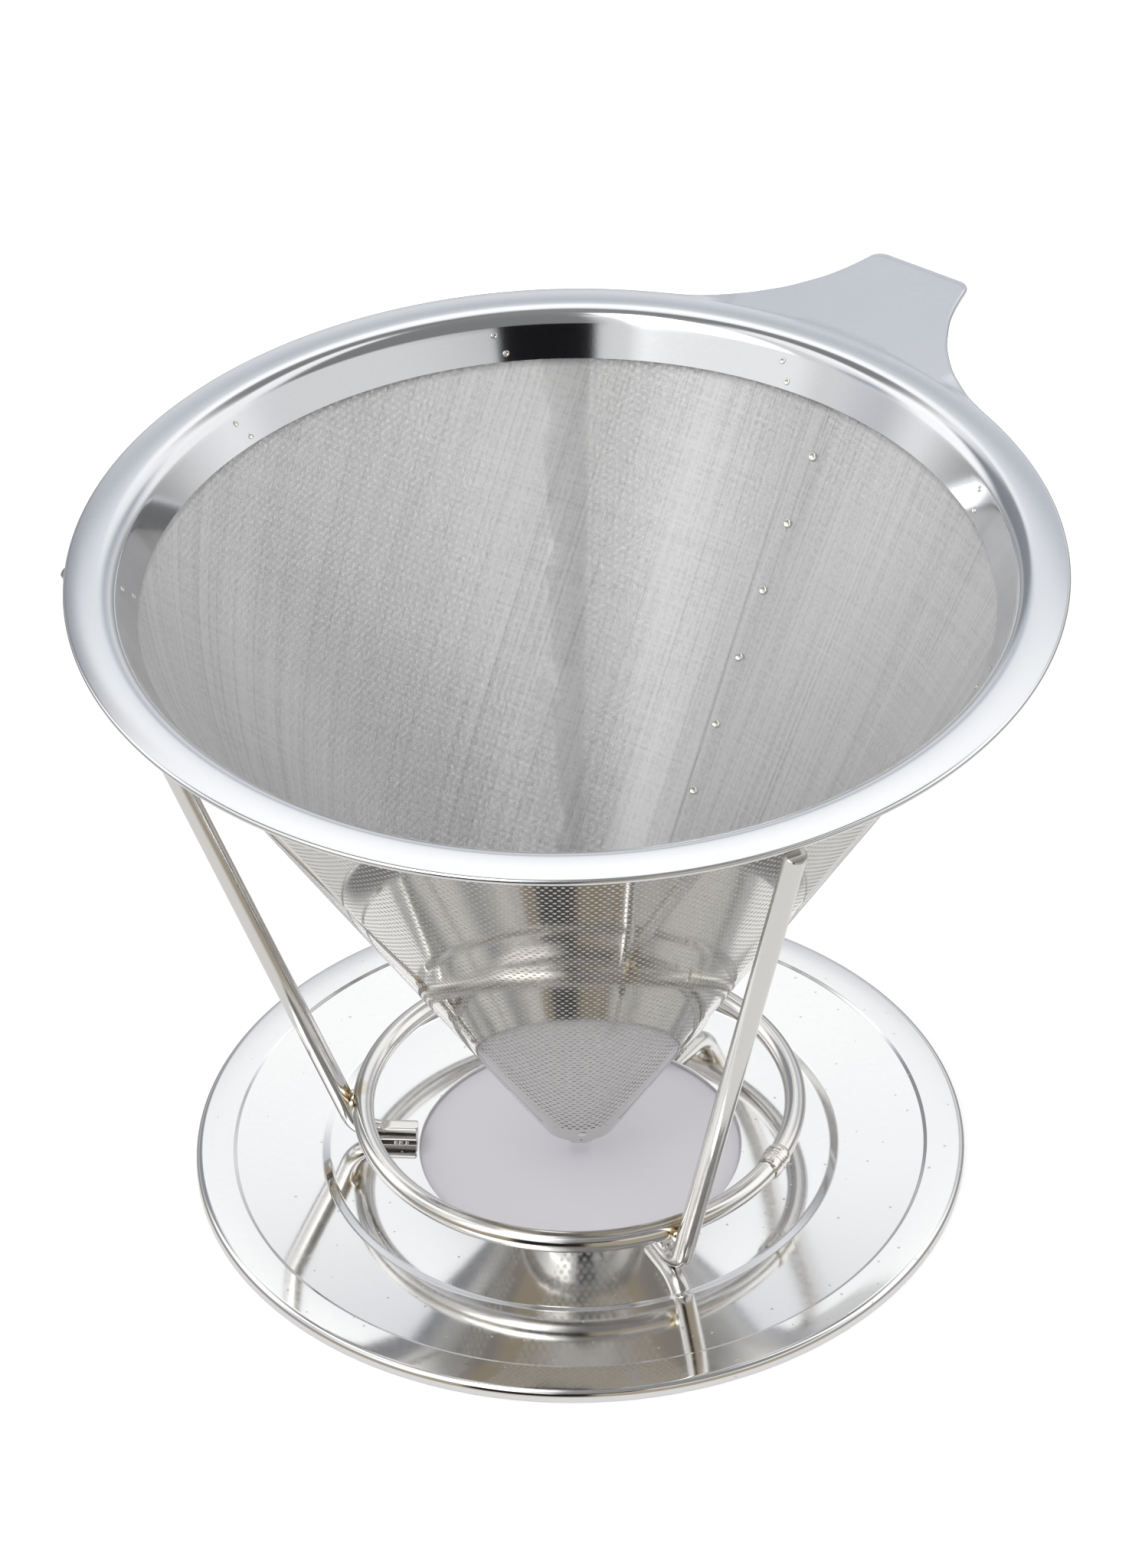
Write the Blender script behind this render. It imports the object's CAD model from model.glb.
from math import acos, atan2, cos, degrees, hypot, pi, radians, sin, sqrt, tan

import bmesh
import bpy
import numpy as np
from mathutils import Matrix, Vector


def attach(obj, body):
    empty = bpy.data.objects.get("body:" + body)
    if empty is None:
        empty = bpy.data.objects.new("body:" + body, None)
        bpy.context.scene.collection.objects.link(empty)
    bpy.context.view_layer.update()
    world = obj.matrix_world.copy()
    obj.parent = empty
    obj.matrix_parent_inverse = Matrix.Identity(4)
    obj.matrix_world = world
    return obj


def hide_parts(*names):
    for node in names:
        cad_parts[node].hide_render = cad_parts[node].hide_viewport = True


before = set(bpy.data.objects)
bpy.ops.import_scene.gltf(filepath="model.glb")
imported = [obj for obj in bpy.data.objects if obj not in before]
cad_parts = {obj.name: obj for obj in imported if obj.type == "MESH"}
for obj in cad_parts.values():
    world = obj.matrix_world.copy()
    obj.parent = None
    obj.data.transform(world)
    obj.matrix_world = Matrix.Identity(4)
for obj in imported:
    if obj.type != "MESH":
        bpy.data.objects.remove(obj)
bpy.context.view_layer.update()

MM = 0.001

# Drawing dimensions in millimetres. They follow the CAD part's, but the rim's edge and the
# handle's end are drawn in by a few hundredths
WIRE_R = 1.4
BASE_T = 0.6
HOLE_R = 20.95
FLOOR_R = 33.0
CREASE_R = 45.1
BASE_R = 50.1
SLOPE_LOW_Z = 1.0
SLOPE_HIGH_Z = 1.45
BAND_Z = 1.7
FOOT_END_R = 21.2
FOOT_Z = BASE_T + WIRE_R + 0.01
FOOT_FLAT = 1.12
LEG_LOW = (31.15, 8.0)
LEG_TOP = (62.0, 91.45)
LEG_BEND_R = 4.5
LEGS = {"leg_left": 175.2, "leg_front": 295.2, "leg_back": 55.2}
RING_R = 28.1
RING_Z = 7.85
BUTT_AZIMUTH = -28.1
CONE_HALF = radians(30.8)
TAPER = tan(CONE_HALF)
PER_T = 1 / cos(CONE_HALF)
SKIRT_LOW = (53.4, 88.3)
RIM_R = 62.49
CONE_LOW_Z = 5.5
CONE_HIGH_Z = 91.9
SKIRT_OUT = 0.5 * PER_T
MESH_IN = SKIRT_OUT + 0.01
MESH_OUT = MESH_IN + 0.25 * PER_T
PANEL_OUT = MESH_OUT + 0.01 + 0.3 * PER_T
OVER_OUT = PANEL_OUT + 0.01 + 0.3 * PER_T
HANDLE_AZIMUTH = 54.0
FRONT_FROM, FRONT_TO, BACK_SEAM = 219.2, 323.2, 91.0
FRONT_INSET = 3.6
MESH_SEAM = 52.0

# The rim's rolled shoulder, convex flange and hem, and the handle's slight droop
SHOULDER_R = 3.0
CROWN_Z = 93.58
FLANGE_BOW = 0.0255
HANDLE_DROP = 0.02
SHEET_T = 0.5
FLANGE_END = 60.6
HEM_R = 0.42
HEM_DEEP = 0.9

# The panels' holes, and the plain bands at their tip and top edges
HOLE_PITCH = 1.0
HOLE_R_SMALL = 0.29
HOLE_WALL = 0.1
TIP_BAND = 5.0
TOP_BAND = 1.0

# The chamfer at the wires' cut ends
CHAMFER = 0.16

# The woven cloth: wire pitch in mm, streaks, grain, level, gloss and see-through shares
WEAVE = 0.16
STREAK = 1.0
GRAIN = 0.8
MESH_LEVEL = 0.93
SHADE_BELOW = 0.0012
MESH_ROUGH = 0.32
MESH_OPEN = 0.06
MESH_GLOW = 0.38

TABLE_R = 49.5
WHITE = (1, 1, 1, 1)


def cone_r(z, offset=0.0):
    """Radius in mm at height z of the cone offset outwards from the skirt's inner face."""
    return SKIRT_LOW[0] + TAPER * (z - SKIRT_LOW[1]) + offset


# ---------------------------------------------------------------- mesh helpers


def add_object(name, verts, faces, body, nodes=(), slot=None, smooth=True):
    """A mesh object from millimetre vertices, riding on a body and standing for CAD nodes."""
    mesh = bpy.data.meshes.new(name)
    mesh.from_pydata((np.asarray(verts, float) * MM).tolist(), [], faces)
    mesh.update()
    mesh.polygons.foreach_set("use_smooth", [smooth] * len(mesh.polygons))
    obj = bpy.data.objects.new(name, mesh)
    bpy.context.scene.collection.objects.link(obj)
    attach(obj, body)
    if nodes:
        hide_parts(*nodes)
    return obj


def join(parts):
    """One (verts, faces) pair from several."""
    verts, faces, base = [], [], 0
    for v, f in parts:
        v = np.asarray(v, float)
        verts.append(v)
        faces.extend([tuple(i + base for i in face) for face in f])
        base += len(v)
    return np.vstack(verts), faces


def turned(part, azimuth):
    """(verts, faces) turned about Z by azimuth degrees."""
    v, f = part
    a = radians(azimuth)
    m = np.array([[cos(a), -sin(a), 0], [sin(a), cos(a), 0], [0, 0, 1]])
    return np.asarray(v, float) @ m.T, f


def grid_faces(rows, cols, wrap_rows=False, wrap_cols=False, flip=False):
    """Quads over a rows x cols grid of vertices stored row by row."""
    faces = []
    for i in range(rows if wrap_rows else rows - 1):
        for j in range(cols if wrap_cols else cols - 1):
            a = i * cols + j
            b = i * cols + (j + 1) % cols
            c = ((i + 1) % rows) * cols + (j + 1) % cols
            d = ((i + 1) % rows) * cols + j
            faces.append((d, c, b, a) if flip else (a, b, c, d))
    return faces


def rounded(points, radii, closed, steps=6):
    """A 2D path whose corners are rounded by arcs of the given radii."""
    points = [np.array(p, float) for p in points]
    out = []
    n = len(points)
    for i, (p, r) in enumerate(zip(points, radii)):
        if r <= 0 or (not closed and i in (0, n - 1)):
            out.append(p)
            continue
        a, b = points[i - 1] - p, points[(i + 1) % n] - p
        a, b = a / np.linalg.norm(a), b / np.linalg.norm(b)
        half = acos(max(-1, min(1, float(a @ b)))) / 2
        reach = r / tan(half)
        centre = p + (a + b) / np.linalg.norm(a + b) * (r / sin(half))
        start, end = p + a * reach - centre, p + b * reach - centre
        sweep = atan2(start[0] * end[1] - start[1] * end[0], float(start @ end))
        for k in range(steps + 1):
            t = sweep * k / steps
            out.append(
                centre
                + np.array(
                    [
                        start[0] * cos(t) - start[1] * sin(t),
                        start[0] * sin(t) + start[1] * cos(t),
                    ]
                )
            )
    return out


def lathe(path, segments, closed_path=True, start=0.0, arc=360.0):
    """A (radius, z) path turned about Z. Faces look to the right of the path's direction."""
    path = np.asarray(path, float)
    full = arc >= 360
    count = segments if full else segments + 1
    angles = radians(start) + radians(arc) * np.arange(count) / segments
    verts = np.empty((count, len(path), 3))
    verts[:, :, 0] = np.cos(angles)[:, None] * path[:, 0]
    verts[:, :, 1] = np.sin(angles)[:, None] * path[:, 0]
    verts[:, :, 2] = path[:, 1]
    faces = grid_faces(count, len(path), wrap_rows=full, wrap_cols=closed_path)
    return verts.reshape(-1, 3), faces


def tube(path, radius, sides=28):
    """A closed tube along a 3D path with flat, slightly chamfered ends."""
    path = np.asarray(path, float)
    tangents = np.gradient(path, axis=0)
    tangents /= np.linalg.norm(tangents, axis=1)[:, None]
    side = np.array([0.0, 1.0, 0.0])
    rings = []
    spots = [(path[0], tangents[0], radius - CHAMFER)]
    spots.append((path[0] + tangents[0] * CHAMFER, tangents[0], radius))
    for p, t in zip(path[1:-1], tangents[1:-1]):
        spots.append((p, t, radius))
    spots.append((path[-1] - tangents[-1] * CHAMFER, tangents[-1], radius))
    spots.append((path[-1], tangents[-1], radius - CHAMFER))
    for p, t, r in spots:
        up = np.cross(t, side)
        up /= np.linalg.norm(up)
        across = np.cross(up, t)
        angles = 2 * pi * np.arange(sides) / sides
        rings.append(p + r * (np.cos(angles)[:, None] * across + np.sin(angles)[:, None] * up))
    verts = np.vstack(rings)
    faces = grid_faces(len(spots), sides, wrap_cols=True)
    faces.append(tuple(range(sides))[::-1])
    last = (len(spots) - 1) * sides
    faces.append(tuple(range(last, last + sides)))
    return verts, faces


def sharp_ends(obj, angle=35):
    """Keeps hard edges hard where two faces meet at more than the angle."""
    obj.data.set_sharp_from_angle(angle=radians(angle))


# ---------------------------------------------------------------- the stand


def base_plate():
    """The pressed plate, turned from its section."""
    corners = [
        (HOLE_R, 0.0),
        (HOLE_R, BASE_T),
        (FLOOR_R - 0.5, BASE_T),
        (FLOOR_R + 0.7, SLOPE_LOW_Z - 0.02),
        (CREASE_R - 0.3, SLOPE_HIGH_Z),
        (CREASE_R + 0.1, BAND_Z),
        (BASE_R, BAND_Z),
        (BASE_R, 0.0),
        (BASE_R - BASE_T, 0.0),
        (BASE_R - BASE_T, BAND_Z - BASE_T),
        (CREASE_R + 0.3, BAND_Z - BASE_T),
        (CREASE_R - 0.1, SLOPE_HIGH_Z - BASE_T),
        (FLOOR_R + 0.75, SLOPE_LOW_Z - BASE_T),
        (FLOOR_R + 0.35, 0.0),
    ]
    radii = (0.08, 0.14, 1.6, 1.6, 0.3, 0.25, 0.9, 0.12, 0.08, 0.3, 0, 0, 0.3, 0.3)
    path = rounded(corners, radii, True, 8)
    verts, faces = lathe(path[::-1], 540)
    obj = add_object("base_plate_shell", verts, faces, "stand", ["base_plate"], "polished_steel")
    sharp_ends(obj, 50)
    return obj


def leg_path():
    """The leg's centre line in the XZ plane, from the foot's end to the top."""
    lean = (LEG_TOP[0] - LEG_LOW[0]) / (LEG_TOP[1] - LEG_LOW[1])
    elbow = (LEG_LOW[0] + lean * (FOOT_Z - LEG_LOW[1]), FOOT_Z)
    path = rounded(
        [(FOOT_END_R, FOOT_Z), elbow, LEG_TOP], [0, LEG_BEND_R, 0], False, 24
    )
    foot = np.linspace(path[0], path[1], 12)[:-1]
    shank = np.linspace(path[-2], path[-1], 24)[1:]
    flat = np.vstack([foot, np.array(path[1:-1]), shank])
    return np.column_stack([flat[:, 0], np.zeros(len(flat)), flat[:, 1]])


def leg(name):
    """A bent wire leg whose foot is pressed flat on top by the welding electrode."""
    verts, faces = tube(leg_path(), WIRE_R, 36)
    foot = verts[:, 0] < FOOT_END_R + 4.6
    top = FOOT_Z + FOOT_FLAT - 0.12 * np.clip(verts[:, 0] - FOOT_END_R - 3.6, 0, 1)
    verts[:, 2] = np.where(foot & (verts[:, 2] > top), top, verts[:, 2])
    obj = add_object(name + "_wire", *turned((verts, faces), LEGS[name]), "stand", [name], "wire_steel")
    sharp_ends(obj, 35)
    return obj


def ring():
    """The ring's wire, open at the butt weld."""
    gap = 1.0
    sides, steps = 36, 400
    angles = np.radians(np.linspace(BUTT_AZIMUTH + gap, BUTT_AZIMUTH + 360 - gap, steps))
    around = 2 * pi * np.arange(sides) / sides
    r = RING_R + WIRE_R * np.cos(around)
    z = RING_Z + WIRE_R * np.sin(around)
    verts = np.empty((steps, sides, 3))
    verts[:, :, 0] = np.cos(angles)[:, None] * r
    verts[:, :, 1] = np.sin(angles)[:, None] * r
    verts[:, :, 2] = z
    faces = grid_faces(steps, sides, wrap_cols=True)
    faces.append(tuple(range(sides))[::-1])
    last = (steps - 1) * sides
    faces.append(tuple(range(last, last + sides)))
    return add_object("ring_wire", verts.reshape(-1, 3), faces, "stand", ["lower_ring"], "wire_steel")


def blob(centre, radii, axes, seed, rough=0.08, size=(28, 18)):
    """A lumpy bead: an ellipsoid with smooth seeded swellings."""
    rng = np.random.default_rng(seed)
    waves = [(rng.normal(0, 1, 3) * 2.2, rng.uniform(0, 2 * pi)) for _ in range(7)]
    around, along = size
    verts = []
    for i in range(along + 1):
        t = pi * i / along
        for j in range(around):
            p = 2 * pi * j / around
            d = np.array([sin(t) * cos(p), sin(t) * sin(p), cos(t)])
            swell = 1 + rough * sum(sin(float(w @ d) + f) for w, f in waves) / 2.6
            verts.append(centre + (d * radii * swell) @ axes)
    return np.array(verts), grid_faces(along + 1, around, wrap_cols=True, flip=True)


def butt_weld():
    """The upset collar where the ring's ends were welded, with a pressed band on it."""
    half, thick, sides, steps = 2.5, 1.7, 40, 40
    rng = np.random.default_rng(5)
    phase = rng.uniform(0, 2 * pi, 4)
    verts = []
    for i in range(steps + 1):
        t = -1 + 2 * i / steps
        along = half * sin(t * pi / 2)
        girth = thick * sqrt(max(0.0, 1 - abs(sin(t * pi / 2)) ** 7))
        girth -= 0.1 * (0.5 + 0.5 * cos(2 * pi * min(1.0, abs(along - 0.3) / 0.5))) * (abs(along - 0.3) < 0.5)
        for k in range(sides):
            p = 2 * pi * k / sides
            lump = 1 - 0.015 * (1 + sin(2 * p + phase[0] + 2 * t) + 0.6 * sin(5 * p + phase[1] - 5 * t))
            turn = radians(BUTT_AZIMUTH) + along / RING_R
            r = RING_R + girth * lump * cos(p)
            verts.append((r * cos(turn), r * sin(turn), RING_Z + girth * lump * sin(p)))
    faces = grid_faces(steps + 1, sides, wrap_cols=True)
    return add_object("butt_weld_bead", verts, faces, "stand", ["ring_butt_weld"], "weld")


def leg_ring_welds():
    """A fused bead where each leg crosses the ring."""
    lean = atan2(LEG_TOP[0] - LEG_LOW[0], LEG_TOP[1] - LEG_LOW[1])
    parts = []
    for k, azimuth in enumerate(LEGS.values()):
        a = radians(azimuth)
        r = RING_R + WIRE_R * cos(lean)
        centre = np.array([r * cos(a), r * sin(a), RING_Z - WIRE_R * sin(lean)])
        axes = np.array([[cos(a), sin(a), 0], [-sin(a), cos(a), 0], [0, 0, 1]])
        parts.append(blob(centre, np.array([0.85, 1.25, 1.2]), axes, 20 + k, 0.12))
    verts, faces = join(parts)
    return add_object("leg_ring_beads", verts, faces, "stand", ["leg_ring_welds"], "weld")


def foot_welds():
    """Small nuggets squeezed out along both sides of each foot."""
    parts = []
    for k, azimuth in enumerate(LEGS.values()):
        a = radians(azimuth)
        axes = np.array([[cos(a), sin(a), 0], [-sin(a), cos(a), 0], [0, 0, 1]])
        for i, along in enumerate((22.6, 23.4, 24.1)):
            for side in (-1, 1):
                centre = np.array([along, side * 0.62, BASE_T + 0.12]) @ axes
                parts.append(
                    blob(centre, np.array([0.3, 0.28, 0.24]), axes, 40 + 9 * k + i, 0.1, (14, 9))
                )
    verts, faces = join(parts)
    return add_object("foot_nuggets", verts, faces, "stand", ["foot_welds"], "weld")


# ---------------------------------------------------------------- the filter

HANDLE_SIDE = [
    (57.5, 24.5),
    (59.0, 21.6),
    (61.0, 18.7),
    (63.0, 16.2),
    (65.4, 14.0),
    (67.8, 12.15),
    (70.3, 10.7),
    (72.6, 9.5),
    (75.0, 8.6),
    (77.2, 7.95),
    (79.2, 7.45),
]
HANDLE_END = 81.07


def catmull(points, steps):
    """A smooth curve through points."""
    p = [np.array(q, float) for q in points]
    p = [2 * p[0] - p[1], *p, 2 * p[-1] - p[-2]]
    out = []
    for a, b, c, d in zip(p, p[1:], p[2:], p[3:]):
        for k in range(steps):
            t = k / steps
            out.append(
                0.5
                * (
                    2 * b
                    + (c - a) * t
                    + (2 * a - 5 * b + 4 * c - d) * t * t
                    + (3 * b - a - 3 * c + d) * t**3
                )
            )
    out.append(p[-2])
    return out


def rim_outline():
    """(azimuth, radius) of the rim's outer edge all the way round, handle included."""
    upper = catmull(HANDLE_SIDE, 8)
    corner = rounded(
        [upper[-1], (HANDLE_END, HANDLE_SIDE[-1][1] - 0.35), (HANDLE_END, 0)], [0, 1.8, 0], False, 10
    )
    half = upper + corner[1:-1]
    end = [np.array([HANDLE_END, y]) for y in np.linspace(corner[-2][1], 0, 8)[1:]]
    half = half + end
    pts = half + [np.array([x, -y]) for x, y in half[-2::-1]]
    az = [degrees(atan2(y, x)) for x, y in pts]
    rad = [hypot(x, y) for x, y in pts]
    top, bottom = az[0], az[-1]
    arc = np.linspace(top, bottom + 360, 560)[1:-1]
    az = az[::-1] + list(arc)
    rad = rad[::-1] + [RIM_R] * len(arc)
    return np.array(az) + HANDLE_AZIMUTH, np.array(rad)


def rim():
    """The pressed rim: skirt, rolled shoulder, flange and handle in one skin of 0.5 mm sheet."""
    azimuths, edges = rim_outline()
    crown = (cone_r(CROWN_Z), CROWN_Z)
    inner = rounded([SKIRT_LOW, crown, (60.0, CROWN_Z)], [0, SHOULDER_R, 0], False, 22)
    low = np.array(SKIRT_LOW)
    skirt = [low + (inner[1] - low) * t for t in np.linspace(0, 1, 9)[:-1]]
    top = skirt + inner[1:-1]
    start = float(top[-1][0])

    def fall(r):
        """Height of the convex flange."""
        return CROWN_Z - FLANGE_BOW * (r - start) ** 2

    top += [np.array([r, fall(r)]) for r in np.linspace(start, FLANGE_END, 9)[1:]]
    path = np.array(top)
    tangent = np.gradient(path, axis=0)
    tangent /= np.linalg.norm(tangent, axis=1)[:, None]
    normal = np.column_stack([tangent[:, 1], -tangent[:, 0]])
    back = path + normal * SHEET_T
    columns = []
    for az, edge in zip(azimuths, edges):
        a = radians(az)
        c, s = cos(a), sin(a)
        tab = min(1.0, max(0.0, (edge - RIM_R) / 2.5))
        tab = tab * tab * (3 - 2 * tab)
        pts = [tuple(p) for p in path]
        for t in np.linspace(0, 1, 26)[1:]:
            r = FLANGE_END + (edge - HEM_R - FLANGE_END) * t
            knee = min(r, 61.6)
            level = fall(knee) - HANDLE_DROP * (r - knee)
            free = fall(min(r, RIM_R)) - 0.1 * max(0.0, r - RIM_R)
            pts.append((r, tab * level + (1 - tab) * free))
        z0 = pts[-1][1]
        for k in range(1, 9):
            t = pi * k / 8
            drop = HEM_DEEP / 2 - HEM_DEEP / 2 * cos(t)
            pts.append((edge - HEM_R + HEM_R * sin(t), z0 - drop))
        zb = z0 - HEM_DEEP
        for t in np.linspace(0, 1, 8)[1:]:
            pts.append((edge - HEM_R - (edge - HEM_R - 61.3) * t, zb))
        pts.append((61.25, zb + 0.08))
        pts.append((61.2, fall(61.2) - SHEET_T))
        for p in back[::-1]:
            pts.append(tuple(p))
        pts = np.array(pts)
        columns.append(np.column_stack([pts[:, 0] * c, pts[:, 0] * s, pts[:, 1]]))
    rows, cols = len(columns), len(columns[0])
    verts = np.vstack(columns)
    faces = grid_faces(rows, cols, wrap_rows=True, wrap_cols=True, flip=True)
    obj = add_object("rim_shell", verts, faces, "filter", ["rim"], "satin_steel")
    sharp_ends(obj, 60)
    return obj


def flat_uv(obj, points):
    """A UV map that holds each vertex's place on the unrolled cloth, in millimetres."""
    mesh = obj.data
    layer = mesh.uv_layers.new(name="cloth")
    loops = np.empty(len(mesh.loops), np.int64)
    mesh.loops.foreach_get("vertex_index", loops)
    layer.data.foreach_set("uv", points[loops].astype(np.float32).ravel())


def unrolled(azimuth, r):
    """The place on the unrolled cone, in millimetres, of azimuth degrees past the seam."""
    s = r / sin(CONE_HALF)
    turn = np.radians(azimuth) * sin(CONE_HALF)
    return np.column_stack([s * np.cos(turn), s * np.sin(turn)])


def mesh_cone():
    """The woven cone and its lapped edge, with the cloth's own coordinates."""
    rows, cols = 361, 60
    zs = np.linspace(CONE_LOW_Z + 0.1, CONE_HIGH_Z, cols)
    az = np.linspace(0, 360, rows)
    grid_az, grid_z = np.meshgrid(az, zs, indexing="ij")
    r = cone_r(grid_z, MESH_IN + 0.02)
    a = np.radians(grid_az + MESH_SEAM)
    verts = np.stack([r * np.cos(a), r * np.sin(a), grid_z], -1).reshape(-1, 3)
    faces = grid_faces(rows, cols)
    cloth = unrolled(grid_az.ravel(), r.ravel())
    lap_rows = 9
    lap_z = np.linspace(CONE_LOW_Z + 5, SKIRT_LOW[1] - 0.2, cols)
    width = 3.4
    lap_v, lap_c = [], []
    for i in range(lap_rows):
        across = 0.0 if i == 0 else (i - 0.7) / (lap_rows - 1.7)
        rise = 0.0 if i == 0 else 0.2 * (1 - across)
        for z in lap_z:
            rr = cone_r(z, MESH_IN - 0.01 - rise)
            off = degrees((0.5 - across) * width / rr)
            aa = radians(MESH_SEAM + off)
            lap_v.append((rr * cos(aa), rr * sin(aa), z))
            lap_c.append(unrolled(np.array([off + 2.0]), np.array([rr]))[0])
    lap_faces = [tuple(k + len(verts) for k in f) for f in grid_faces(lap_rows, cols)]
    verts = np.vstack([verts, lap_v])
    cloth = np.vstack([cloth, lap_c])
    obj = add_object(
        "woven_cone", verts, faces + lap_faces, "filter", ["mesh_cone"], "woven_mesh"
    )
    flat_uv(obj, cloth)
    return obj


def inset_angle(slant, inset):
    """Turn on the unrolled sheet of a line kept a set distance from a generator."""
    half = sin(CONE_HALF)
    share = np.clip(inset / (slant * half), -sin(radians(50)), 1.0)
    return np.arcsin(share) * half


def panel(name, node, start, end, offset, start_insets, end_insets):
    """A perforated panel: a staggered grid of real holes laid out straight on the unrolled
    sheet. Each side has two insets from its generator: the sheet's edge and the first hole."""
    half = sin(CONE_HALF)
    s_low = cone_r(CONE_LOW_Z, offset) / half
    s_high = cone_r(CONE_HIGH_Z, offset) / half
    mid = radians((start + end) / 2)
    reach_turn = radians((end - start) / 2) * half
    count = int(s_high / HOLE_PITCH) + 4
    i, j = np.meshgrid(np.arange(-count, count + 1), np.arange(-count, 2 * count), indexing="ij")
    along = j * HOLE_PITCH * sqrt(3) / 2
    across = (i + 0.5 * (j % 2)) * HOLE_PITCH
    cx, cy = along.ravel(), across.ravel()
    keep = cx > 0
    cx, cy = cx[keep], cy[keep]
    dist, ang = np.hypot(cx, cy), np.arctan2(cy, cx)

    def clear(inset_start, inset_end, pad):
        """Cells whose centres are inside both sides by the pad."""
        from_start = dist * (ang + reach_turn - inset_angle(dist, inset_start))
        from_end = dist * (reach_turn - inset_angle(dist, inset_end) - ang)
        return (from_start > pad) & (from_end > pad)

    cell = HOLE_PITCH * 0.62
    edges = (start_insets[0], end_insets[0])
    firsts = (start_insets[1], end_insets[1])
    in_sheet = clear(*edges, cell) & clear(*firsts, -2 * cell)
    in_sheet &= (dist > s_low + TIP_BAND - 2 * cell) & (dist < s_high - cell)
    cx, cy, dist, ang = cx[in_sheet], cy[in_sheet], dist[in_sheet], ang[in_sheet]
    pierced = clear(*firsts, 0.0) & (dist > s_low + TIP_BAND) & (dist < s_high - TOP_BAND)
    turns = np.radians(60 * np.arange(6))
    spokes = np.column_stack([np.cos(turns), np.sin(turns)])
    centres = np.column_stack([cx, cy])
    corners = (centres[:, None, :] + spokes[None] * HOLE_PITCH / sqrt(3)).reshape(-1, 2)
    key = np.round(corners / 0.02).astype(np.int64)
    _, first, inverse = np.unique(key, axis=0, return_index=True, return_inverse=True)
    corner_id = inverse.reshape(-1, 6)
    holes = centres[pierced]
    lips = (holes[:, None, :] + spokes[None] * HOLE_R_SMALL).reshape(-1, 2)
    flat = [corners[first], lips, lips, lips]
    depth = [np.zeros(len(first) + 2 * len(lips)), np.full(len(lips), HOLE_WALL)]
    lip0 = len(first) + np.arange(len(lips)).reshape(-1, 6)
    top0, low0 = lip0 + len(lips), lip0 + 2 * len(lips)
    quads = []
    for k in range(6):
        m = (k + 1) % 6
        a, b = corner_id[pierced][:, k], corner_id[pierced][:, m]
        quads.append(np.column_stack([a, b, lip0[:, m], lip0[:, k]]))
        quads.append(np.column_stack([top0[:, k], top0[:, m], low0[:, m], low0[:, k]]))
    faces = [tuple(q) for q in np.vstack(quads).tolist()]
    faces += [tuple(q) for q in corner_id[~pierced].tolist()]
    flat = np.vstack(flat)
    slants, bearings = np.hypot(flat[:, 0], flat[:, 1]), np.arctan2(flat[:, 1], flat[:, 0])
    polar_pts = [np.column_stack([slants, bearings])]
    into_hole = np.zeros((len(flat), 2))
    to_centre = np.tile(-spokes, (len(holes), 1))
    into_hole[len(first) + len(lips) :] = np.vstack([to_centre, to_centre])
    total = len(flat)

    def side(inset, sign):
        return lambda sl: sign * (reach_turn - inset_angle(sl, inset))

    def band(one, two, low, high, nu, nv):
        """A plain patch between two side lines and two slant distances."""
        sl = np.repeat(np.linspace(low, high, nv)[None], nu, axis=0)
        t = np.linspace(0, 1, nu)[:, None]
        turn = one(sl) + (two(sl) - one(sl)) * t
        return np.column_stack([sl.ravel(), turn.ravel()]), nu, nv

    wide = [max(f, e + 2 * cell) for e, f in (start_insets, end_insets)]
    margins = [
        w - 0.5 * HOLE_PITCH * (f > w - 0.01)
        for w, (_, f) in zip(wide, (start_insets, end_insets))
    ]
    patches = [
        band(side(start_insets[0], -1), side(margins[0], -1), s_low, s_high, 6, 120),
        band(side(margins[1], 1), side(end_insets[0], 1), s_low, s_high, 6, 120),
        band(side(wide[0], -1), side(wide[1], 1), s_low, s_low + TIP_BAND - 0.5, 60, 8),
        band(side(wide[0], -1), side(wide[1], 1), s_high - TOP_BAND + 0.35, s_high, 160, 3),
    ]
    for grid, nu, nv in patches:
        faces += [tuple(k + total for k in f) for f in grid_faces(nu, nv)]
        polar_pts.append(grid)
        depth.append(np.full(len(grid), 0.012))
        into_hole = np.vstack([into_hole, np.zeros((len(grid), 2))])
        total += len(grid)
    polar_pts, depth = np.vstack(polar_pts), np.concatenate(depth)
    azimuth = polar_pts[:, 1] / half + mid
    r_face = polar_pts[:, 0] * half
    z_face = SKIRT_LOW[1] + (r_face - offset - SKIRT_LOW[0]) / TAPER
    outward = np.column_stack(
        [np.cos(azimuth) * cos(CONE_HALF), np.sin(azimuth) * cos(CONE_HALF), np.full(total, -sin(CONE_HALF))]
    )
    rising = np.column_stack(
        [np.cos(azimuth) * sin(CONE_HALF), np.sin(azimuth) * sin(CONE_HALF), np.full(total, cos(CONE_HALF))]
    )
    aside = np.column_stack([-np.sin(azimuth), np.cos(azimuth), np.zeros(total)])
    verts = np.column_stack([r_face * np.cos(azimuth), r_face * np.sin(azimuth), z_face])
    verts -= outward * depth[:, None]
    turn = polar_pts[:, 1]
    radial = into_hole[:, 0] * np.cos(turn) + into_hole[:, 1] * np.sin(turn)
    tangential = -into_hole[:, 0] * np.sin(turn) + into_hole[:, 1] * np.cos(turn)
    wall = rising * radial[:, None] + aside * tangential[:, None]
    normals = np.where(np.any(into_hole != 0, axis=1)[:, None], wall, outward)
    obj = add_object(name, verts, faces, "filter", [node], "perforated_steel")
    face_to(obj, normals)
    obj.data.normals_split_custom_set_from_vertices(normals.tolist())
    return obj


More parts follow.
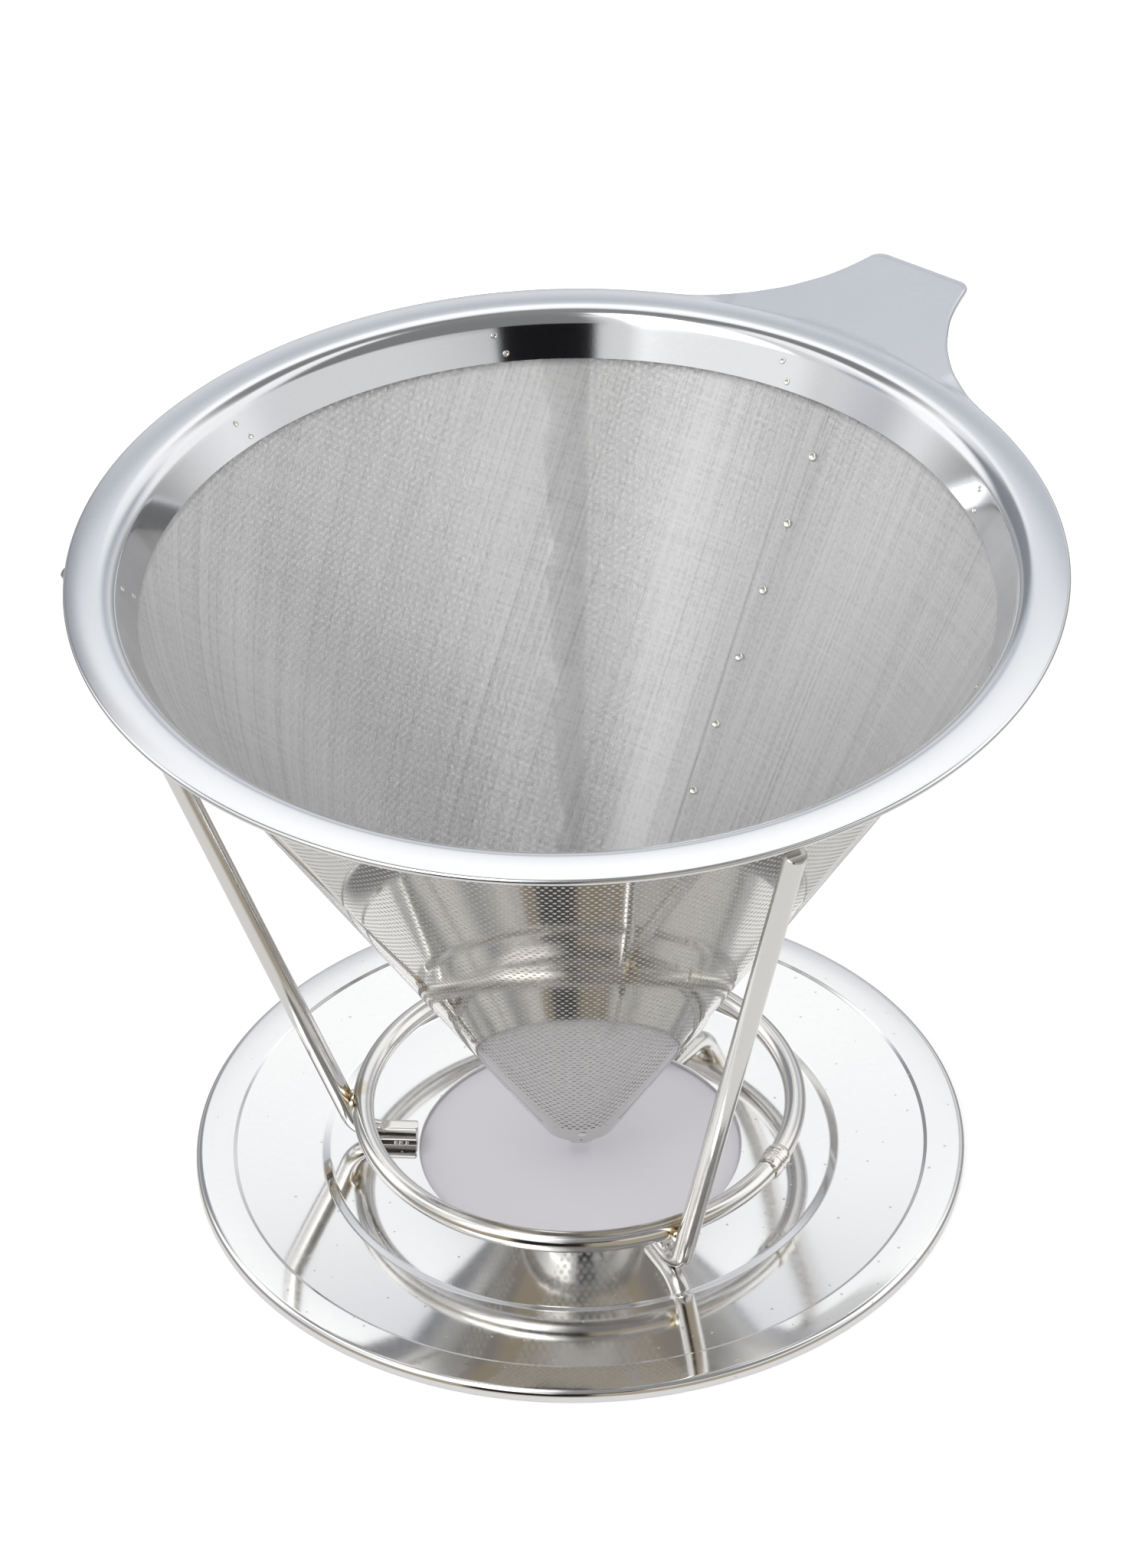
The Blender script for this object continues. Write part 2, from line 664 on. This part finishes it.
def face_to(obj, normals):
    """Turns each face to look the way of its vertices' normals."""
    mesh = obj.data
    first = np.array([p.vertices[0] for p in mesh.polygons])
    looks = np.empty(len(mesh.polygons) * 3)
    mesh.polygons.foreach_get("normal", looks)
    wrong = np.einsum("ij,ij->i", looks.reshape(-1, 3), normals[first]) < 0
    bm = bmesh.new()
    bm.from_mesh(mesh)
    bm.faces.ensure_lookup_table()
    bmesh.ops.reverse_faces(bm, faces=[bm.faces[k] for k in np.flatnonzero(wrong)])
    bm.to_mesh(mesh)
    bm.free()
    mesh.update()


def panels():
    """The three outer panels. The front one lies over the margins of the other two."""
    under = -4.5
    return [
        panel(
            "perforated_front", "outer_panel_front", FRONT_FROM - 360, FRONT_TO - 360,
            OVER_OUT, (FRONT_INSET, FRONT_INSET + 0.9), (FRONT_INSET, FRONT_INSET + 0.9),
        ),
        panel(
            "perforated_right", "outer_panel_right", FRONT_TO - 360, BACK_SEAM,
            PANEL_OUT, (under, 0.2), (0.0, 1.3),
        ),
        panel(
            "perforated_left", "outer_panel_left", BACK_SEAM, FRONT_FROM,
            PANEL_OUT, (0.0, 1.3), (under, 0.2),
        ),
    ]


def back_lap():
    """The left panel's jogged margin that lies over the right one at the back."""
    spread = np.linspace(BACK_SEAM - 5, BACK_SEAM + 0.7, 12)
    jog = (spread - BACK_SEAM) / 0.7 * (OVER_OUT - PANEL_OUT)
    offsets = np.where(spread > BACK_SEAM, OVER_OUT - jog, OVER_OUT)
    zs = np.linspace(CONE_LOW_Z, CONE_HIGH_Z, 60)
    verts = []
    for az, off in zip(spread, offsets):
        for z in zs:
            r = cone_r(z, off)
            verts.append((r * cos(radians(az)), r * sin(radians(az)), z))
    faces = grid_faces(12, 60, flip=True)
    return add_object(
        "back_lap", np.array(verts), faces, "filter", ["outer_panel_left"], "perforated_steel"
    )


def tip_cap():
    """The cup inside the tip."""
    outer, inner = SKIRT_OUT, SKIRT_OUT - 0.4 * PER_T
    high, floor = CONE_LOW_Z + 4.5, CONE_LOW_Z + 0.4
    corners = [
        (0.001, CONE_LOW_Z),
        (cone_r(CONE_LOW_Z, outer), CONE_LOW_Z),
        (cone_r(high, outer), high),
        (cone_r(high, inner), high),
        (cone_r(floor, inner), floor),
        (0.001, floor),
    ]
    path = rounded(corners, (0, 0.3, 0.05, 0.05, 0.3, 0), True, 5)
    verts, faces = lathe(path, 120)
    obj = add_object("tip_cup", verts, faces, "filter", ["tip_cap"], "polished_steel")
    sharp_ends(obj, 40)
    return obj


def spot(azimuth, z, offset, radius, height, outward, seed):
    """A pressed weld spot: a ringed dimple lying on the cone's face."""
    side = 1 if outward else -1
    normal = np.array([cos(CONE_HALF), 0, -sin(CONE_HALF)]) * side
    along = np.array([sin(CONE_HALF), 0, cos(CONE_HALF)])
    across = np.cross(normal, along)
    foot = np.array([cone_r(z, offset), 0, z])
    rng = np.random.default_rng(seed)
    profile = [(1.0, 0.0), (0.86, 0.85), (0.72, 1.0), (0.55, 0.62), (0.35, 0.3), (0.15, 0.22), (0.0, 0.2)]
    sides = 20
    verts = []
    for share, up in profile:
        for k in range(sides):
            t = 2 * pi * k / sides
            r = radius * share * (1 + 0.07 * sin(2 * t + seed) + 0.03 * rng.normal())
            verts.append(foot + normal * (up * height + 0.012) + r * (cos(t) * along + sin(t) * across))
    faces = grid_faces(len(profile), sides, wrap_cols=True, flip=not outward)
    return turned((np.array(verts), faces), azimuth)


def weld_spots():
    """The three groups of spot welds on the filter."""
    seam = [
        spot(MESH_SEAM - 1.6 + 0.55 * min(i, 6), 82.2 - 8.0 * i, MESH_IN - 0.16, 0.6, 0.16, False, i)
        for i in range(9)
    ]
    rim_spots = []
    for place in range(9):
        for k, z in enumerate((89.2, 91.3)):
            rim_spots.append(
                spot(18.0 + 40 * place + (0.9 if k else -0.5), z, 0.0, 0.42, 0.08, False, 50 + 2 * place + k)
            )
    tips = [
        spot(-88.0 + 120 * i, 8.4, offset, 0.62, 0.1, True, 90 + i)
        for i, offset in enumerate((OVER_OUT, PANEL_OUT, PANEL_OUT))
    ]
    return [
        add_object("seam_spots", *join(seam), "filter", ["mesh_seam_welds"], "weld"),
        add_object("skirt_spots", *join(rim_spots), "filter", ["rim_spot_welds"], "weld"),
        add_object("tip_spots", *join(tips), "filter", ["tip_spot_welds"], "weld"),
    ]


pieces = {"base": base_plate(), "ring": ring(), "rim": rim(), "mesh": mesh_cone(), "cap": tip_cap()}
pieces["legs"] = [leg(name) for name in LEGS]
pieces["panels"] = [*panels(), back_lap()]
pieces["spots"] = weld_spots()
pieces["beads"] = [butt_weld(), leg_ring_welds(), foot_welds()]

# ---------------------------------------------------------------- materials


class Nodes:
    """The node tree of a material or the world, with short calls to build it."""

    def __init__(self, name="", world=None):
        self.material = world or bpy.data.materials.new(name)
        self.material.use_nodes = True
        self.tree = self.material.node_tree
        self.tree.nodes.clear()
        kind = "ShaderNodeOutputWorld" if world else "ShaderNodeOutputMaterial"
        self.out = self.tree.nodes.new(kind)

    def add(self, kind, settings=None, **inputs):
        """A node with its settings and its inputs: a number, a tuple or another node's output."""
        node = self.tree.nodes.new("ShaderNode" + kind)
        for key, value in (settings or {}).items():
            setattr(node, key, value)
        for key, value in inputs.items():
            socket = node.inputs[int(key[1:])] if key[0] == "i" and key[1:].isdigit() else node.inputs[
                key.replace("_", " ")
            ]
            if isinstance(value, bpy.types.NodeSocket):
                self.tree.links.new(value, socket)
            else:
                socket.default_value = value
        return node

    def math(self, operation, *values, clamp=False):
        """One arithmetic node."""
        node = self.tree.nodes.new("ShaderNodeMath")
        node.operation = operation
        node.use_clamp = clamp
        for socket, value in zip(node.inputs, values):
            if isinstance(value, bpy.types.NodeSocket):
                self.tree.links.new(value, socket)
            else:
                socket.default_value = value
        return node.outputs[0]

    def ramp(self, factor, stops):
        """A colour ramp from (place, grey or rgb) stops."""
        node = self.tree.nodes.new("ShaderNodeValToRGB")
        while len(node.color_ramp.elements) < len(stops):
            node.color_ramp.elements.new(0.5)
        for element, (place, value) in zip(node.color_ramp.elements, stops):
            element.position = place
            rgb = (value,) * 3 if isinstance(value, (int, float)) else value
            element.color = (*rgb, 1)
        self.tree.links.new(factor, node.inputs[0])
        return node.outputs[0]

    def noise(self, where, scale, detail=3.0, rough=0.5, stretch=None):
        """Noise over a position, stretched by a scale on each axis."""
        if stretch:
            where = self.add("VectorMath", {"operation": "MULTIPLY"}, i0=where, i1=stretch).outputs[0]
        node = self.add("TexNoise", Scale=scale, Detail=detail, Roughness=rough, Vector=where)
        return node.outputs[0]

    def done(self, shader):
        self.tree.links.new(shader, self.out.inputs[0])
        return self.material


def metal(
    name, colour, rough, spread=0.03, grain=900.0, bump=0.02, tint=None, speck=0.0, coarse=35.0, inner=None
):
    """Steel with soft uneven polish, a fine grain and optional heat tint or specks."""
    n = Nodes(name)
    place = n.add("TexCoord").outputs["Object"]
    cloud = n.noise(place, coarse, 4.0)
    fine = n.noise(place, grain, 2.0)
    mixed = n.math("MULTIPLY_ADD", cloud, 0.6, n.math("MULTIPLY", fine, 0.4))
    gloss = n.add(
        "MapRange", i0=mixed, i1=0.3, i2=0.7, i3=max(0.0, rough - spread), i4=rough + spread
    ).outputs[0]
    dark = tuple(c * 0.965 for c in colour)
    shade = n.ramp(mixed, [(0.35, dark), (0.65, colour)])
    if tint:
        shade = tint(n, place, shade)
    if speck:
        spots = n.add("TexVoronoi", {"feature": "F1"}, Scale=420.0, Vector=place).outputs["Distance"]
        patch = n.noise(place, 60.0, 3.0)
        hit = n.math("LESS_THAN", spots, n.math("MULTIPLY", patch, speck))
        gloss = n.math("MULTIPLY_ADD", hit, 0.35, gloss)
    if inner:
        flat_place = n.add("VectorMath", {"operation": "MULTIPLY"}, i0=place, i1=(1, 1, 0)).outputs[0]
        radius = n.add("VectorMath", {"operation": "LENGTH"}, i0=flat_place).outputs["Value"]
        outer = n.add("MapRange", i0=radius, i1=inner[0], i2=inner[1], i3=inner[2], i4=1.0).outputs[0]
        gloss = n.math("MULTIPLY", gloss, outer)
        tone = n.add("MapRange", i0=radius, i1=inner[0], i2=inner[1], i3=inner[3], i4=1.0).outputs[0]
        shade = n.add("VectorMath", {"operation": "SCALE"}, i0=shade, Scale=tone).outputs[0]
    relief = n.add("Bump", Strength=bump, Distance=0.00004, Height=mixed).outputs[0]
    shader = n.add("BsdfPrincipled", Base_Color=shade, Roughness=gloss, Normal=relief)
    shader.inputs["Metallic"].default_value = 1.0
    return n.done(shader.outputs[0])


def heat_at(spots, reach):
    """A straw to brown heat tint around the welds, in metres."""

    def tint(n, place, shade):
        near = None
        for spot_at in spots:
            d = n.add("VectorMath", {"operation": "DISTANCE"}, i0=place, i1=spot_at).outputs["Value"]
            near = d if near is None else n.math("MINIMUM", near, d)
        waver = n.math("MULTIPLY_ADD", n.noise(place, 900.0, 3.0), 0.5, 0.75)
        share = n.math("DIVIDE", near, n.math("MULTIPLY", waver, reach), clamp=True)
        colour = n.ramp(
            share,
            [
                (0.0, (0.36, 0.27, 0.18)),
                (0.35, (0.62, 0.5, 0.34)),
                (0.65, (0.86, 0.78, 0.62)),
                (1.0, (1, 1, 1)),
            ],
        )
        mix = n.add("Mix", {"data_type": "RGBA", "blend_type": "MULTIPLY"}, Factor=1.0)
        n.tree.links.new(shade, mix.inputs[6])
        n.tree.links.new(colour, mix.inputs[7])
        return mix.outputs[2]

    return tint


def woven():
    """Plain-woven wire cloth: over-and-under relief on the unrolled sheet, partly see-through."""
    n = Nodes("woven_cloth")
    cloth = n.add("UVMap", {"uv_map": "cloth"}).outputs[0]
    parts = n.add("SeparateXYZ", i0=cloth)
    x, y = parts.outputs[0], parts.outputs[1]
    u, v = n.math("DIVIDE", x, WEAVE), n.math("DIVIDE", y, WEAVE)
    fu, fv = n.math("FRACT", u), n.math("FRACT", v)
    wu = n.math("SINE", n.math("MULTIPLY", fu, pi))
    wv = n.math("SINE", n.math("MULTIPLY", fv, pi))
    cell = n.math("ADD", n.math("FLOOR", u), n.math("FLOOR", v))
    over = n.math("FLOORED_MODULO", cell, 2.0)
    relief = n.add("Mix", {"data_type": "FLOAT"}, i0=over)
    n.tree.links.new(wu, relief.inputs[2])
    n.tree.links.new(wv, relief.inputs[3])
    flat = n.add("CombineXYZ", i0=x, i1=y).outputs[0]
    warp_streak = n.noise(flat, 1.0, 2.0, 0.55, (0.012, 2.6, 1.0))
    weft_streak = n.noise(flat, 1.0, 2.0, 0.55, (2.6, 0.02, 1.0))
    broad = n.noise(flat, 1.0, 3.0, 0.5, (0.008, 0.4, 1.0))
    grain = n.noise(flat, 1.7, 3.0, 0.7)
    light = n.math(
        "ADD",
        n.math("MULTIPLY_ADD", warp_streak, STREAK, n.math("MULTIPLY", weft_streak, STREAK * 0.45)),
        n.math("MULTIPLY_ADD", grain, GRAIN, n.math("MULTIPLY", broad, STREAK * 0.5)),
    )
    level = n.math("ADD", light, 1.0 - STREAK * 0.97 - GRAIN * 0.5)
    deep = n.math("MULTIPLY_ADD", relief.outputs[0], 0.25, 0.8)
    value = n.math("MULTIPLY", level, n.math("MULTIPLY", deep, MESH_LEVEL))
    height = n.add("SeparateXYZ", i0=n.add("TexCoord").outputs["Object"]).outputs[2]
    edge = SKIRT_LOW[1] * MM
    crevice = n.add("MapRange", i0=height, i1=edge - SHADE_BELOW, i2=edge, i3=1.0, i4=0.35).outputs[0]
    value = n.math("MULTIPLY", n.math("MINIMUM", value, 0.98), crevice)
    grey = n.add("CombineColor", i0=value, i1=value, i2=n.math("MULTIPLY", value, 1.01)).outputs[0]
    bump = n.add("Bump", Strength=0.55, Distance=0.00006, Height=relief.outputs[0]).outputs[0]
    metal_part = n.add("BsdfPrincipled", Base_Color=grey, Normal=bump)
    metal_part.inputs["Metallic"].default_value = 1.0
    metal_part.inputs["Roughness"].default_value = MESH_ROUGH
    clear = n.add("BsdfTransparent")
    glow = n.add("BsdfTranslucent", Color=(0.9, 0.9, 0.9, 1.0))
    cloth_part = n.add("MixShader", i0=MESH_GLOW, i1=metal_part.outputs[0], i2=glow.outputs[0])
    mix = n.add("MixShader", i0=MESH_OPEN, i1=cloth_part.outputs[0], i2=clear.outputs[0])
    return n.done(mix.outputs[0])


def polar(radius, azimuth, z):
    """A point in metres from a radius and height in mm and an azimuth in degrees."""
    return (radius * MM * cos(radians(azimuth)), radius * MM * sin(radians(azimuth)), z * MM)


ring_spots = [polar(RING_R + 1.2, a, RING_Z) for a in LEGS.values()]

satin = metal(
    "satin_sheet", (0.84, 0.85, 0.87), 0.16, 0.02, 2200.0, 0.05, inner=(0.0562, 0.0578, 0.5, 0.82)
)
bright = metal("bright_wire", (0.80, 0.785, 0.76), 0.13, 0.04, 1500.0, 0.08, heat_at(ring_spots, 0.0026))
mirror = metal("bright_plate", (0.87, 0.87, 0.87), 0.085, 0.03, 1300.0, 0.035, None, 0.16)
sheet = metal("perforated_sheet", (0.66, 0.645, 0.62), 0.05, 0.02, 600.0, 0.01)
cup = metal("deep_drawn", (0.80, 0.80, 0.80), 0.12, 0.03, 900.0, 0.03)
bead = metal("weld_metal", (0.82, 0.79, 0.73), 0.12, 0.06, 1800.0, 0.35)
dimple = metal("spot_weld", (0.86, 0.84, 0.78), 0.14, 0.06, 2200.0, 0.3)


def dress(obj, material):
    """Gives a mesh object its one material."""
    obj.data.materials.clear()
    obj.data.materials.append(material)


dress(pieces["base"], mirror)
dress(pieces["ring"], bright)
dress(pieces["rim"], satin)
dress(pieces["mesh"], woven())
dress(pieces["cap"], cup)
for obj in pieces["legs"]:
    dress(obj, bright)
for obj in pieces["panels"]:
    dress(obj, sheet)
for obj in pieces["spots"]:
    dress(obj, dimple)
for obj in pieces["beads"]:
    dress(obj, bead)


# ---------------------------------------------------------------- camera and floor

CAM_LENS = 197.17
CAM_PITCH = 0.656
CAM_ROLL = -0.0251
CAM_D = 1087.57
CAM_TARGET = (-1.4, 0.2, 56.45)
CAM_SHIFT = (0.0032, 0.0132)


def camera():
    """A long lens from the front, a little above the rim."""
    back = Vector((0, -cos(CAM_PITCH), sin(CAM_PITCH)))
    right = Vector((1, 0, 0))
    up = back.cross(right)
    c, s = cos(CAM_ROLL), sin(CAM_ROLL)
    x, y = c * right + s * up, -s * right + c * up
    place = Vector(CAM_TARGET) + CAM_D * back
    m = Matrix((x, y, back)).transposed().to_4x4()
    m.translation = place * MM
    data = bpy.data.cameras.new("camera")
    data.sensor_width = 36
    data.lens = CAM_LENS
    data.shift_x, data.shift_y = CAM_SHIFT
    data.clip_start, data.clip_end = 0.05, 50
    obj = bpy.data.objects.new("camera", data)
    bpy.context.scene.collection.objects.link(obj)
    obj.matrix_world = m
    bpy.context.scene.camera = obj


camera()


def pale(name, tone):
    """A matt pale surface with a very faint cloudiness."""
    n = Nodes(name)
    cloud = n.noise(n.add("TexCoord").outputs["Object"], 30.0, 3.0)
    colour = n.ramp(cloud, [(0.3, tuple(c * 0.97 for c in tone)), (0.7, tone)])
    shader = n.add("BsdfPrincipled", Base_Color=colour)
    shader.inputs["Roughness"].default_value = 0.9
    shader.inputs["Specular IOR Level"].default_value = 0.0
    return n.done(shader.outputs[0])


def floor():
    """A plain pale table: a disc under the plate and the rest, which stays out of mirrors."""
    parts = (
        ("table", 0.01, TABLE_R, (0.61, 0.6, 0.635)),
        ("table_wide", TABLE_R, 900.0, (0.74, 0.74, 0.745)),
    )
    for name, inner, outer, tone in parts:
        path = [(inner, -0.02), *((r, -0.02) for r in np.linspace(inner, outer, 12)[1:])]
        verts, faces = lathe(path, 180, closed_path=False)
        mesh = bpy.data.meshes.new(name)
        mesh.from_pydata((verts * MM).tolist(), [], faces)
        obj = bpy.data.objects.new(name, mesh)
        bpy.context.scene.collection.objects.link(obj)
        dress(obj, pale(name, tone))
        obj.visible_glossy = name == "table"


# Elevation in degrees and brightness, in halves for SKY
SKY = [
    (-90, (0.4, 0.4, 0.4)),
    (-30, (0.4, 0.395, 0.39)),
    (-22, (0.19, 0.18, 0.165)),
    (-8, (0.16, 0.15, 0.14)),
    (4, (0.22, 0.22, 0.22)),
    (17, (0.42, 0.425, 0.44)),
    (30, (0.25, 0.26, 0.285)),
    (34, (0.35, 0.36, 0.38)),
    (38, (0.51, 0.515, 0.52)),
    (50, (0.62, 0.62, 0.62)),
    (67, (0.6, 0.6, 0.6)),
    (74, (0.15, 0.15, 0.155)),
    (90, (0.15, 0.15, 0.15)),
]
TABLE_LIGHT = [(-90, 0.12), (20, 0.16), (40, 0.32), (60, 0.9), (90, 0.9)]

# Azimuth (0 is the front, + to the right) and elevation ranges in degrees, softness and
# brightness in halves
CARDS = [
    ((-164, -125), (12, 42), 5.0, (0.15, 0.155, 0.17)),
    ((-75, 75), (14, 64), 5.0, (0.46, 0.46, 0.46)),
    ((-10, 78), (28, 80), 4.0, (0.14, 0.14, 0.14)),
    ((-60, -20), (28, 80), 4.0, (1.7, 1.7, 1.7)),
    ((-64, -22), (14, 28), 5.0, (0.58, 0.58, 0.58)),
    ((80, 125), (8, 55), 10.0, (0.62, 0.62, 0.62)),
    ((-125, -92), (8, 55), 8.0, (0.7, 0.7, 0.7)),
    ((-155, -105), (50, 80), 6.0, (0.13, 0.13, 0.13)),
    ((105, 155), (50, 80), 6.0, (0.13, 0.13, 0.13)),
    ((-78, 68), (-24, 10), 4.0, (0.21, 0.185, 0.145)),
    ((-44, 42), (10, 19), 2.0, (0.26, 0.215, 0.145)),
    ((-32, 2), (-14, 20), 2.5, (0.006, 0.005, 0.005)),
    ((-9, 16), (20, 31), 1.4, (0.004, 0.004, 0.005)),
]


def studio():
    """Surroundings that mirrors, matt surfaces and the camera each see at their own level."""
    world = bpy.data.worlds.new("studio")
    bpy.context.scene.world = world
    n = Nodes(world=world)
    way = n.add("SeparateXYZ", i0=n.add("TexCoord").outputs["Generated"])
    x, y, z = way.outputs[0], way.outputs[1], way.outputs[2]
    azimuth = n.math("MULTIPLY", n.math("ARCTAN2", x, n.math("MULTIPLY", y, -1.0)), 180 / pi)
    height = n.math("MULTIPLY", n.math("ARCSINE", z), 180 / pi)

    def between(value, low, high, soft):
        """One inside low..high, falling softly to zero outside."""
        smooth = {"interpolation_type": "SMOOTHSTEP"}
        rise = n.add("MapRange", smooth, i0=value, i1=low - soft, i2=low + soft)
        fall = n.add(
            "MapRange", smooth, i0=value, i1=high - soft, i2=high + soft, i3=1.0, i4=0.0
        )
        return n.math("MULTIPLY", rise.outputs[0], fall.outputs[0])

    def card(az, el, soft):
        return n.math("MULTIPLY", between(azimuth, *az, soft), between(height, *el, soft))

    def layer(base, mask, colour):
        mix = n.add("Mix", {"data_type": "RGBA"}, Factor=mask)
        n.tree.links.new(base, mix.inputs[6])
        mix.inputs[7].default_value = (*colour, 1)
        return mix.outputs[2]

    climb = n.math("MULTIPLY_ADD", height, 1 / 180, 0.5)
    sky = n.ramp(climb, [(el / 180 + 0.5, value) for el, value in SKY])
    soft_light = n.ramp(climb, [(el / 180 + 0.5, value) for el, value in TABLE_LIGHT])
    for az, el, soft, colour in CARDS:
        sky = layer(sky, card(az, el, soft), colour)
    rays = n.add("LightPath").outputs
    sky = n.add("VectorMath", {"operation": "SCALE"}, i0=sky, Scale=2.0).outputs[0]
    soft_light = n.add("VectorMath", {"operation": "SCALE"}, i0=soft_light, Scale=4.4).outputs[0]
    sky = n.add("Mix", {"data_type": "RGBA"}, Factor=rays["Is Diffuse Ray"], i6=sky, i7=soft_light).outputs[2]
    camera_ray = rays["Is Camera Ray"]
    sky = n.add("Mix", {"data_type": "RGBA"}, Factor=camera_ray, i6=sky).outputs[2]
    sky.node.inputs[7].default_value = WHITE
    lamp = n.add("Background", Color=sky, Strength=1.0)
    n.tree.links.new(lamp.outputs[0], n.out.inputs[0])


floor()
studio()
bpy.context.scene.view_settings.view_transform = "Standard"
